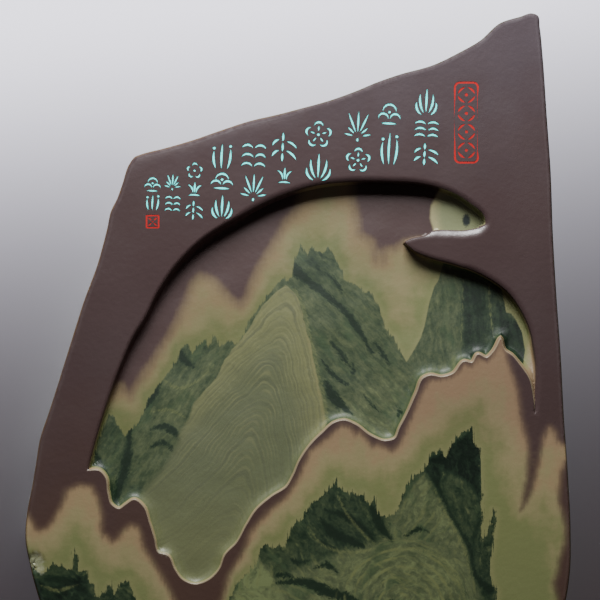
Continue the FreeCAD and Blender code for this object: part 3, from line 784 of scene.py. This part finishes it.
def add_worked_face(skin):
    """Adds the worked face, with a groove under each engraved stroke, and returns the ring round it."""
    strokes = stroke_loops()
    loops = [stone_edge.line, well_rim.line] + strokes
    rings = [stone_edge.ring(depth) for depth in EDGE_RINGS]
    for depth in RIM_RINGS:
        ring = well_rim.ring(depth)
        wall_start, wall_end = wall_span(well_rim.measure(ring)[1])
        rings.append(ring[(depth > wall_start - 0.55) & (depth < wall_end + WALL_MARGIN_INSIDE)])
    stroke_samples = np.vstack(strokes)
    flat, triangles, sources = triangulate(np.vstack(loops + rings + [spread_points(stroke_samples)]), loops)
    height, dropped, cut_through, lip = worked_height(flat)
    fields = worked_pattern(flat, dropped, cut_through, lip)
    skin.add(flat, height, fields)

    middles = flat[triangles].mean(axis=1)
    low, high = stroke_samples.min(axis=0), stroke_samples.max(axis=0)
    edge_lengths = np.linalg.norm(flat[triangles[:, 0]] - flat[triangles[:, 1]], axis=1)
    near = np.all((middles > low) & (middles < high), axis=1) & (edge_lengths < LONGEST_GROOVE_EDGE)
    in_groove = np.zeros(len(triangles), bool)
    in_groove[near] = is_inside(middles[near], strokes)
    skin.faces += triangles[~in_groove].tolist()
    sunk = np.unique(triangles[in_groove])
    sunk_fields = {name: values[sunk] for name, values in fields.items()}
    lowered = dict(zip(sunk.tolist(), skin.add(flat[sunk], height[sunk] - GROOVE_DEPTH, sunk_fields)))
    directed = set()
    for a, b, c in triangles[in_groove].tolist():
        skin.faces.append((lowered[a], lowered[b], lowered[c]))
        directed.update(((a, b), (b, c), (c, a)))
    for a, b in directed:
        if (b, a) not in directed:
            skin.faces.append((lowered[b], lowered[a], a, b))
    place_of = {source: index for index, here in enumerate(sources) for source in here}
    return [place_of[k] for k in range(len(stone_edge.line))]


def add_sides(skin, ring):
    """Adds the sides, row by row down from the worked face. It returns the last row, and where it lies."""
    line = stone_edge.line
    steps = np.linalg.norm(np.roll(line, -1, axis=0) - line, axis=1)
    around = np.concatenate([[0], np.cumsum(steps)[:-1]])
    for z in SIDE_HEIGHTS:
        split = 0.35 + 0.35 * undulation(np.column_stack([around, np.full(len(line), z * 2.2)]), 17, 2)
        split += 0.16 * undulation(np.column_stack([around, np.full(len(line), z * 3.0)]), 5.0, 4)
        inset = np.clip(split, 0, 1.2) * smooth_step(1.5, 5, FACE_Z - z)
        rounded = min(max(FOOT_ROUND - z, 0), FOOT_ROUND)
        inset = inset + FOOT_ROUND - math.sqrt(FOOT_ROUND**2 - rounded**2)
        places = line + stone_edge.inward * inset[:, None]
        row = skin.add(places, z, side_pattern(line + stone_edge.inward * 0.4, FACE_Z - z, around))
        for k in range(len(line)):
            j = (k + 1) % len(line)
            skin.faces.append((ring[k], row[k], row[j], ring[j])[::stone_edge.turn])
        ring = row
    return ring, places


def add_back(skin, ring, places):
    """Closes the stone with its flat back, inside the last row of its sides."""
    grid = hex_grid(BACK_STEP)
    depth, _ = stone_edge.measure(grid)
    flat, triangles, sources = triangulate(np.vstack([places, grid[depth > BACK_MARGIN]]), [places])
    renamed = {}
    extra = []
    for index, here in enumerate(sources):
        on_ring = [source for source in here if source < len(ring)]
        if on_ring:
            renamed[index] = ring[on_ring[0]]
        else:
            extra.append(index)
    renamed.update(zip(extra, skin.add(flat[extra], 0.0, back_pattern(flat[extra]))))
    skin.faces += [(renamed[c], renamed[b], renamed[a]) for a, b, c in triangles]


def build_stone():
    """The whole stone as one closed mesh, with the fields that colour it."""
    skin = Skin()
    add_back(skin, *add_sides(skin, add_worked_face(skin)))
    mesh = bpy.data.meshes.new("carved_stone")
    mesh.from_pydata((np.vstack(skin.places) * MM).tolist(), [], skin.faces)
    for name in skin.layers[0]:
        values = np.concatenate([layer[name] for layer in skin.layers]).astype(np.float32)
        mesh.attributes.new(name, "FLOAT", "POINT").data.foreach_set("value", values)
    mesh.polygons.foreach_set("use_smooth", [True] * len(mesh.polygons))
    mesh.set_sharp_from_angle(angle=math.radians(52))
    mesh.update()
    stone = bpy.data.objects.new("carved_stone", mesh)
    bpy.context.scene.collection.objects.link(stone)
    return stone


# ---------------------------------------------------------------- materials

def linear(red, green, blue):
    """A colour given as 0 to 255 screen values, as the linear colour that shaders use."""
    values = [value / 255 for value in (red, green, blue)]
    return tuple(v / 12.92 if v <= 0.04045 else ((v + 0.055) / 1.055)**2.4 for v in values) + (1.0,)


class Value:
    """A number, colour or vector that a node gives. Sums and products of values are nodes too."""

    def __init__(self, graph, socket):
        self.graph = graph
        self.socket = socket

    def __add__(self, other):
        return self.graph.math("ADD", self, other)

    def __mul__(self, other):
        return self.graph.math("MULTIPLY", self, other)


class Graph:
    """A material's node tree, with short calls for the nodes that the materials here use."""

    def __init__(self, name):
        self.material = bpy.data.materials.new(name)
        self.material.use_nodes = True
        self.tree = self.material.node_tree
        self.place = self.stretch(self.value("TexCoord", "Object", {}), (1 / MM, 1 / MM, 1 / MM))

    def feed(self, node, inputs):
        """Links each named input to another node's value, or sets it to a plain number or colour."""
        for name, value in inputs.items():
            if isinstance(value, Value):
                self.tree.links.new(value.socket, node.inputs[name])
            else:
                node.inputs[name].default_value = value

    def node(self, kind, inputs, **settings):
        node = self.tree.nodes.new("ShaderNode" + kind)
        for name, setting in settings.items():
            setattr(node, name, setting)
        self.feed(node, inputs)
        return node

    def value(self, kind, output, inputs, **settings):
        return Value(self, self.node(kind, inputs, **settings).outputs[output])

    def field(self, name):
        return self.value("Attribute", "Fac", {}, attribute_name=name)

    def math(self, operation, first, second=0.0):
        return self.value("Math", 0, {0: first, 1: second}, operation=operation)

    def join(self, x, y):
        return self.value("CombineXYZ", 0, {0: x, 1: y})

    def stretch(self, vector, factors):
        return self.value("VectorMath", 0, {0: vector, 1: factors}, operation="MULTIPLY")

    def noise(self, scale, detail, roughness=0.55, over=None):
        """Soft noise over the piece in millimetres, or over other coordinates. A tuple scales each axis."""
        over = over or self.place
        if isinstance(scale, tuple):
            over = self.stretch(over, scale)
            scale = 1.0
        inputs = {"Vector": over, "Scale": scale, "Detail": detail, "Roughness": roughness}
        return self.value("TexNoise", "Fac", inputs)

    def swing(self, noise, size):
        """Noise moved to lie around zero, and scaled."""
        return (noise + -0.5) * size

    def rise(self, value, low, high, start=0.0, end=1.0):
        """A smooth change from start to end while the value goes from low to high."""
        inputs = dict(enumerate((value, low, high, start, end)))
        return self.value("MapRange", "Result", inputs, interpolation_type="SMOOTHSTEP")

    def blend(self, share, first, second, kind="MIX"):
        inputs = {"Factor": share, 6: first, 7: second}
        return self.value("Mix", 2, inputs, data_type="RGBA", blend_type=kind)

    def ramp(self, value, stops):
        node = self.node("ValToRGB", {"Fac": value})
        elements = node.color_ramp.elements
        while len(elements) < len(stops):
            elements.new(0.5)
        for element, (place, colour) in zip(elements, stops):
            element.position = place
            element.color = colour
        return Value(self, node.outputs["Color"])

    def bump(self, height, distance, strength, **below):
        inputs = {"Height": height, "Distance": distance, "Strength": strength, **below}
        return self.value("Bump", "Normal", inputs)

    def finish(self, inputs):
        """Feeds the surface's shader and returns the material."""
        self.feed(self.tree.nodes["Principled BSDF"], inputs)
        return self.material


# The top purple is bluer and paler than the rest: a painted sheen over the upper face.
PURPLE_TOP_SHEEN = linear(50, 43, 47)
PURPLE_MIDDLE = linear(46, 35, 35)
PURPLE_FOOT = linear(51, 37, 31)
PURPLE_DARK = linear(40, 29, 28)
BUFF_PINK = linear(105, 89, 66)
BUFF = linear(101, 94, 67)
BUFF_SHADE = linear(86, 79, 54)
BUFF_HALO = linear(99, 97, 66)
# Painted shade: this darkens the buff in the well towards its upper left.
WELL_UPPER_LEFT_SHADE = (0.70, 0.73, 0.66, 1.0)
PINKER = (0.86, 0.80, 0.87, 1.0)
WARMER = (1.03, 0.93, 0.89, 1.0)
# The lip's cream line: partly the buff layer's own colour, partly a painted highlight.
LIP_CREAM_HIGHLIGHT = linear(112, 104, 84)
KHAKI = linear(78, 83, 51)
GREEN_STOPS = [
    (0.0, linear(5, 15, 8)), (0.25, linear(19, 32, 20)), (0.5, linear(38, 48, 31)),
    (0.75, linear(57, 64, 43)), (1.0, linear(78, 86, 56))]
GREEN_PATCH = linear(36, 52, 33)
BAND_TONE = (0.08, 0.08, 0.08, 1.0)
FOLD_OUTER = linear(78, 80, 52)
FOLD_BASE = linear(64, 69, 48)
FOLD_LINE = linear(88, 89, 60)
FOLD_SHADE = linear(54, 58, 43)
TAN_BAND = linear(88, 86, 56)
DISC_PALE = linear(88, 92, 66)
# The disc's cream edge: partly the mineral's own rim, partly a painted highlight.
DISC_RIM_AND_HIGHLIGHT = linear(112, 108, 78)
DISC_DARK = linear(20, 28, 27)
CRYSTAL_PALE = linear(118, 120, 104)
# The skin's gold at the left edge is partly painted light catching that edge.
RIND_GOLD_LIT = linear(74, 55, 29)
RIND_OLIVE = linear(40, 38, 20)
# Distances between repeated marks, in millimetres.
CONTOUR_SPACING = 1.9
FURROW_SPACING = 3.1
TALL_SPIKE_HALF_WIDTH = 1.15
SHORT_SPIKE_HALF_WIDTH = 0.8


class StoneGraph(Graph):
    """The stone's node tree, with the coordinates and noises that its layers share."""

    def __init__(self):
        super().__init__("layered_stone")
        self.x, self.y, self.z = [self.value("SeparateXYZ", axis, {0: self.place}) for axis in range(3)]
        self.sunk = self.field("sunk")
        self.fine = self.noise(1.6, 4.0)
        self.wander = self.noise(0.22, 4.0)
        self.clouds = self.noise(0.09, 4.0)
        self.mottle = self.noise(0.3, 5.0, 0.65)

        # Streaks that follow the folds of the green rock.
        self.warp = self.swing(self.noise(0.09, 3.0), self.by_depth(16.0, 5.0))
        self.flow = self.join(self.field("across") + self.warp, self.field("along") + self.warp * 0.6)
        self.streak = self.noise((0.4, 0.1, 1.0), 5.0, 0.6, self.flow)
        self.grain = self.noise((1.4, 0.45, 1.0), 3.0, 0.6, self.flow)
        self.ragged = self.swing(self.streak, 5.0) + self.swing(self.grain, 5.0)
        self.pale = self.rise(self.field("pale_band") + self.ragged * 0.35, -0.5, 0.6)

    def by_depth(self, on_face, in_well):
        """One number on the face and another on the floor of the well."""
        return self.rise(self.sunk, 0.0, 1.0, on_face, in_well)


def purple_cover(g):
    """Purple over buff: its edge is soft deep in the well and crisper on the face, with small drips."""
    drips = g.noise((0.9, 0.12, 0.9), 3.0)
    depth = g.field("purple") + g.swing(g.wander, 2.2) + g.swing(drips, g.by_depth(2.2, 3.6))
    film = g.rise(g.field("purple"), 0.5, 3.8, 0.75, 1.0)
    return g.rise(g.math("DIVIDE", depth, g.by_depth(1.8, 4.4)), -1.0, 1.0) * film


def green_cover(g):
    """Green under buff: a skyline of thin upright spikes, tall and short."""
    bent_x = g.x + g.swing(g.noise((0.5, 0.02, 0.1), 2.0), 6.0)
    tall = g.math("PINGPONG", bent_x, TALL_SPIKE_HALF_WIDTH) * (1 / TALL_SPIKE_HALF_WIDTH)
    short = g.math("PINGPONG", bent_x * 1.83, SHORT_SPIKE_HALF_WIDTH) * (1 / SHORT_SPIKE_HALF_WIDTH)
    height = g.rise(g.noise((0.3, 0.08, 0.3), 2.0), 0.35, 0.7, 0.2, 2.4)
    spikes = g.math("POWER", tall, 2.4) * height + g.math("POWER", short, 2.0) * 0.8
    ragged_side = g.swing(g.noise((0.5, 0.3, 0.5), 4.0, 0.65), 3.2)
    jagged = g.field("jagged") * g.by_depth(1.0, 0.6)
    depth = g.field("green") + (spikes + -0.7 + ragged_side) * jagged + g.swing(g.noise(0.9, 3.0), 0.4)
    return g.rise(depth * g.by_depth(5.5, 3.0), -1.0, 1.0)


def purple_colour(g):
    """Purple, browner towards the foot, and bluer and paler towards the top, where a sheen is painted."""
    upward = g.y + g.swing(g.noise(0.05, 3.0), 60.0)
    colour = g.blend(g.rise(upward, -140.0, 10.0), PURPLE_FOOT, PURPLE_MIDDLE)
    # Painted sheen: the purple turns bluer and paler towards the top.
    colour = g.blend(g.rise(upward, 65.0, 185.0), colour, PURPLE_TOP_SHEEN)
    colour = g.blend(g.rise(g.fine, 0.45, 0.8, 0.0, 0.2), colour, PURPLE_DARK)
    return g.blend(g.sunk, colour, WARMER, "MULTIPLY")


def buff_colour(g):
    """Buff: pinker towards the purple, greener towards the green rock and near the foot, softly clouded, and
    darker with painted shade in the well's upper left.
    """
    upright = g.noise((0.16, 0.05, 0.16), 4.0)
    from_purple = g.math("MAXIMUM", g.field("purple") * -1.0, 0.5)
    from_green = g.math("MAXIMUM", g.field("green") * -1.0, 0.3)
    between = g.math("DIVIDE", from_purple, from_purple + from_green)
    between = between + g.swing(g.clouds, 0.9) + g.swing(upright, 0.5)
    between = between + g.rise(g.y, -140.0, 10.0, 0.24, 0.0)
    between = between + g.rise(g.x, 45.0, 105.0) * g.rise(g.y, -120.0, -30.0, 0.6, 0.0)
    colour = g.blend(g.rise(between, 0.1, 0.5), BUFF_PINK, BUFF)
    colour = g.blend(g.rise(between, 0.4, 1.0), colour, KHAKI)
    colour = g.blend(g.rise(from_green, 0.0, 3.5, 0.35, 0.0), colour, BUFF_HALO)
    colour = g.blend(g.rise(g.fine, 0.3, 0.8, 0.0, 0.16), colour, BUFF_SHADE)
    # Painted shade on the buff deep in the well, towards its upper left.
    upper_left = g.rise(g.y + g.x * -0.8, -40.0, 25.0)
    colour = g.blend(g.sunk * upper_left, colour, WELL_UPPER_LEFT_SHADE, "MULTIPLY")
    near_ridge = g.by_depth(1.0, 0.0) * g.rise(g.y, -65.0, -15.0)
    return g.blend(near_ridge, colour, PINKER, "MULTIPLY")


def rock_colour(g):
    """Green rock: streaked tones, dark and pale bands, darker patches, rings and fine pale lines."""
    tone = g.field("tone") + g.swing(g.streak, 0.85) + g.swing(g.grain, 0.35) + g.swing(g.mottle, 0.6)
    dark = g.rise(g.field("dark_band") + g.ragged, -0.7, 0.9, 0.0, 0.85)
    tone = g.blend(dark, tone, BAND_TONE)
    colour = g.ramp(tone, GREEN_STOPS)
    patches = g.rise(g.noise((0.11, 0.05, 1.0), 3.0, over=g.flow), 0.5, 0.72)
    colour = g.blend(patches * g.rise(tone, 0.2, 0.5, 0.0, 0.55), colour, GREEN_PATCH)
    rings = g.rise(g.math("SINE", (g.field("ringed") + g.warp * 0.25) * 1.45), 0.3, 1.0, 0.0, 0.8)
    rings = rings * g.rise(g.noise(0.12, 3.0), 0.42, 0.66) * g.rise(g.field("ringed"), 0.0, 5.0)
    colour = g.blend(rings, colour, KHAKI)
    colour = g.blend(g.pale * g.rise(g.grain, 0.3, 0.7, 0.1, 0.55), colour, KHAKI)
    bends = g.field("across") * 1.3 + g.noise(0.045, 2.0) * 14.0
    lines = g.rise(g.math("SINE", bends), 0.2, 1.0, 0.0, 0.36) * g.by_depth(1.0, 0.25)
    lines = lines * g.rise(g.noise(0.16, 2.0), 0.35, 0.6)
    return g.blend(lines * g.rise(tone, 0.3, 0.6), colour, KHAKI)


def with_fold(g, rock):
    """The pale fold over the green rock: nested contour lines and furrows, fainter towards its foot."""
    wobble = g.swing(g.noise(0.05, 2.0), 7.0) + g.swing(g.wander, 0.9)
    level = g.field("contour") + wobble
    broad = g.noise((0.5, 0.05, 1.0), 3.0, 0.7, g.join(level, wobble))
    colour = g.blend(g.rise(level, 2.0, 22.0), FOLD_OUTER, FOLD_BASE)
    colour = g.blend(g.rise(broad, 0.44, 0.70, 0.0, 0.55), colour, FOLD_SHADE)
    colour = g.blend(g.rise(broad, 0.44, 0.28, 0.0, 0.4), colour, FOLD_LINE)
    thin = g.rise(g.math("SINE", level * (math.tau / CONTOUR_SPACING)), 0.0, 1.0)
    thin = thin * g.rise(g.noise(0.1, 2.0), 0.36, 0.66, 0.15, 1.0)
    colour = g.blend(thin * g.rise(g.y, -80.0, 5.0, 0.16, 0.5), colour, FOLD_LINE)
    furrow = g.rise(g.math("SINE", level * (math.tau / FURROW_SPACING) + 1.0), 0.4, 1.0)
    furrow = furrow * g.rise(g.y, -80.0, 5.0, 0.1, 0.45)
    colour = g.blend(furrow * g.rise(g.noise(0.07, 2.0), 0.4, 0.6), colour, FOLD_SHADE)
    colour = g.blend(g.rise(g.mottle, 0.4, 0.8, 0.0, 0.3), colour, FOLD_SHADE)
    colour = g.blend(g.pale * 0.6, colour, TAN_BAND)
    colour = g.blend(g.rise(g.y, -55.0, -100.0, 0.0, 0.4), colour, FOLD_OUTER)
    depth = (g.field("fold") + g.swing(g.wander, 1.6)) * g.rise(g.y, -45.0, 10.0, 0.4, 3.3)
    return g.blend(g.rise(depth, -1.0, 1.0), rock, colour)


def with_skin(g, colour):
    """Natural skin along the edges, gold at the left where light catching that edge is painted and dark
    olive at the right, chips with pale crystals, and a few pale specks.
    """
    # The skin turns from gold at the left to dark olive at the right. The gold is partly painted light on
    # the left edge.
    skin = g.blend(g.rise(g.x, -60.0, 40.0), RIND_GOLD_LIT, RIND_OLIVE)
    skin_cover = g.rise(g.field("rind") + g.swing(g.wander, 1.2), 0.15, 0.75, 0.0, 0.85)
    colour = g.blend(skin_cover, colour, skin)
    crystal = g.rise(g.field("crystal") + g.swing(g.noise(0.5, 3.0), 5.0), -0.4, 1.4)
    glitter = g.rise(g.noise(1.1, 2.0), 0.3, 0.75, 0.15, 0.65)
    colour = g.blend(crystal * glitter, colour, CRYSTAL_PALE)
    return g.blend(g.rise(g.noise(0.5, 1.0), 0.83, 0.85) * 0.35, colour, CRYSTAL_PALE)


def layered_stone():
    """Purple, buff and green layers, the pale disc in the pocket, the lip with its partly painted highlight,
    and the natural skin. The polish is duller and less bright down the well's walls, along the lip, at the
    edges and down the sides."""
    g = StoneGraph()
    colour = g.blend(purple_cover(g), buff_colour(g), purple_colour(g))
    disc = g.field("disc") + g.swing(g.wander, 1.5)
    # Paler towards the disc's edge: partly its own rim, partly a painted highlight.
    disc_colour = g.blend(g.rise(disc + g.swing(g.clouds, 8.0), 0.5, 6.0), DISC_RIM_AND_HIGHLIGHT, DISC_PALE)
    colour = g.blend(g.rise(disc, -0.8, 1.0), colour, disc_colour)
    colour = g.blend(green_cover(g), colour, with_fold(g, rock_colour(g)))
    colour = g.blend(g.rise(g.field("spot") + g.swing(g.fine, 2.2), -0.5, 0.9), colour, DISC_DARK)
    # Painted highlight: a cream line along the lip of the low ridge.
    lip_highlight_cover = g.rise(g.field("lip") + g.swing(g.wander, 0.5), 0.0, 0.6, 0.0, 0.5)
    colour = with_skin(g, g.blend(lip_highlight_cover, colour, LIP_CREAM_HIGHLIGHT))

    roughness = g.rise(g.noise(0.03, 2.0), 0.3, 0.7, 0.34, 0.39) + g.swing(g.fine, 0.08)
    roughness = roughness + g.sunk * 0.05 + g.field("wall") * 0.06
    roughness = roughness + g.rise(g.field("rind"), -2.2, -0.2, 0.0, 0.4)
    roughness = roughness + g.rise(g.z, 10.0, 25.5, 0.22, 0.0)
    dulled = g.math("MAXIMUM", g.field("wall"), g.rise(g.field("lip"), -1.0, 0.2))
    dulled = g.math("MAXIMUM", dulled, g.rise(g.field("rind"), -2.2, -0.6))
    loss = dulled * g.rise(g.streak, 0.35, 0.65, 0.18, 0.34)
    worn = g.bump(g.noise(0.35, 4.0), 0.0004, 0.25)
    return g.finish({
        "Base Color": colour,
        "Roughness": roughness,
        "Specular IOR Level": g.math("SUBTRACT", 0.42, loss),
        "Normal": g.bump(g.noise(3.2, 3.0) + g.streak * 0.6, 0.00006, 0.5, Normal=worn)})


def pigment(name, body, thin_layer, scuffed):
    """Brushed-in pigment: thick in most places, thin and scuffed in others."""
    g = Graph(name)
    coverage = g.noise(0.9, 4.0)
    brushed = g.noise((2.2, 0.7, 1.0), 3.0)
    colour = g.blend(g.rise(coverage, 0.5, 0.78), body, thin_layer)
    return g.finish({
        "Base Color": g.blend(g.rise(brushed, 0.56, 0.8, 0.0, 0.7), colour, scuffed),
        "Roughness": g.rise(brushed, 0.2, 0.8, 0.55, 0.8),
        "Specular IOR Level": 0.2,
        "Normal": g.bump(coverage + brushed, 0.0001, 0.6)})


stone = build_stone()
stone.data.materials.append(layered_stone())
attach(stone, "root")
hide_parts("stone_slab")

turquoise = pigment("turquoise_pigment", linear(52, 218, 215), linear(32, 150, 147), linear(88, 230, 226))
red = pigment("red_pigment", linear(132, 4, 2), linear(98, 5, 2), linear(146, 11, 6))
for name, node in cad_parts.items():
    if name != "stone_slab":
        for slot in node.material_slots:
            slot.material = red if "seal" in name else turquoise


# ---------------------------------------------------------------- floor, light and camera

FACE = FACE_Z * MM
FLOOR_HALF_WIDTH = 3.0
FLOOR_GAP = 0.0002
WORLD_COLOUR = (1.0, 0.55, 0.5, 1.0)
WORLD_STRENGTH = 0.032


def pale_floor():
    """A plain pale floor just under the stone."""
    mesh = bpy.data.meshes.new("floor")
    low, high = -FLOOR_HALF_WIDTH, FLOOR_HALF_WIDTH
    mesh.from_pydata([(low, low, 0), (high, low, 0), (high, high, 0), (low, high, 0)], [], [(0, 1, 2, 3)])
    floor = bpy.data.objects.new("floor", mesh)
    bpy.context.scene.collection.objects.link(floor)
    floor.location.z = -FLOOR_GAP
    g = Graph("pale_floor")
    colour = g.blend(g.noise(0.01, 3.0), linear(221, 222, 226), linear(225, 226, 230))
    mesh.materials.append(g.finish({"Base Color": colour, "Roughness": 0.85, "Specular IOR Level": 0.2}))
    return floor


def soft_light(name, place, target, width, height, power, lit, glossy=True):
    """A soft light of a width and height in metres, aimed at a point. It lights only the given objects."""
    data = bpy.data.lights.new(name, "AREA")
    data.shape = "RECTANGLE"
    data.size = width
    data.size_y = height
    data.energy = power
    light = bpy.data.objects.new(name, data)
    bpy.context.scene.collection.objects.link(light)
    light.location = place
    light.rotation_euler = (Vector(target) - Vector(place)).to_track_quat("-Z", "Y").to_euler()
    light.visible_camera = False
    light.visible_glossy = glossy
    receivers = bpy.data.collections.new(name + "_lights")
    for thing in lit:
        receivers.objects.link(thing)
    light.light_linking.receiver_collection = receivers
    return light


floor = pale_floor()
pieces = [stone] + list(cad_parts.values())
soft_light("key_light", (-0.06, 0.61, FACE + 0.345), (0, 0.02, FACE), 0.42, 0.34, 24.6, pieces)
soft_light("overhead_fill", (0, 0, FACE + 0.9), (0, 0, FACE), 0.8, 0.8, 0.6, pieces, glossy=False)
soft_light("side_fill", (0.9, -0.9, 0.06), (0, 0, 0.015), 0.5, 0.5, 9.0, pieces, glossy=False)

# A low strip over the floor makes it paler behind the top of the stone. The stone throws no shadow in it.
floor_light = soft_light("floor_light", (-0.03, 0.2, 0.097), (-0.03, 0.2, 0), 0.6, 0.06, 1.18, [floor])
floor_light.rotation_euler.z = math.radians(6.5)
floor_light.data.color = (1.0, 0.975, 1.07)
blockers = bpy.data.collections.new("floor_light_blockers")
blockers.objects.link(floor)
floor_light.light_linking.blocker_collection = blockers

world = bpy.data.worlds.new("studio")
world.use_nodes = True
background = world.node_tree.nodes["Background"]
background.inputs["Color"].default_value = WORLD_COLOUR
background.inputs["Strength"].default_value = WORLD_STRENGTH
bpy.context.scene.world = world

# The camera looks straight down on the worked face. Its picture is 0.3 m wide at the face.
VIEW_WIDTH = 0.3
VIEW_CENTRE = (0.001, 0.02825)
VIEW_DISTANCE = 1.5
camera_data = bpy.data.cameras.new("camera")
camera_data.sensor_width = 36.0
camera_data.lens = camera_data.sensor_width * VIEW_DISTANCE / VIEW_WIDTH
camera = bpy.data.objects.new("camera", camera_data)
bpy.context.scene.collection.objects.link(camera)
camera.location = (VIEW_CENTRE[0], VIEW_CENTRE[1], FACE + VIEW_DISTANCE)
bpy.context.scene.camera = camera
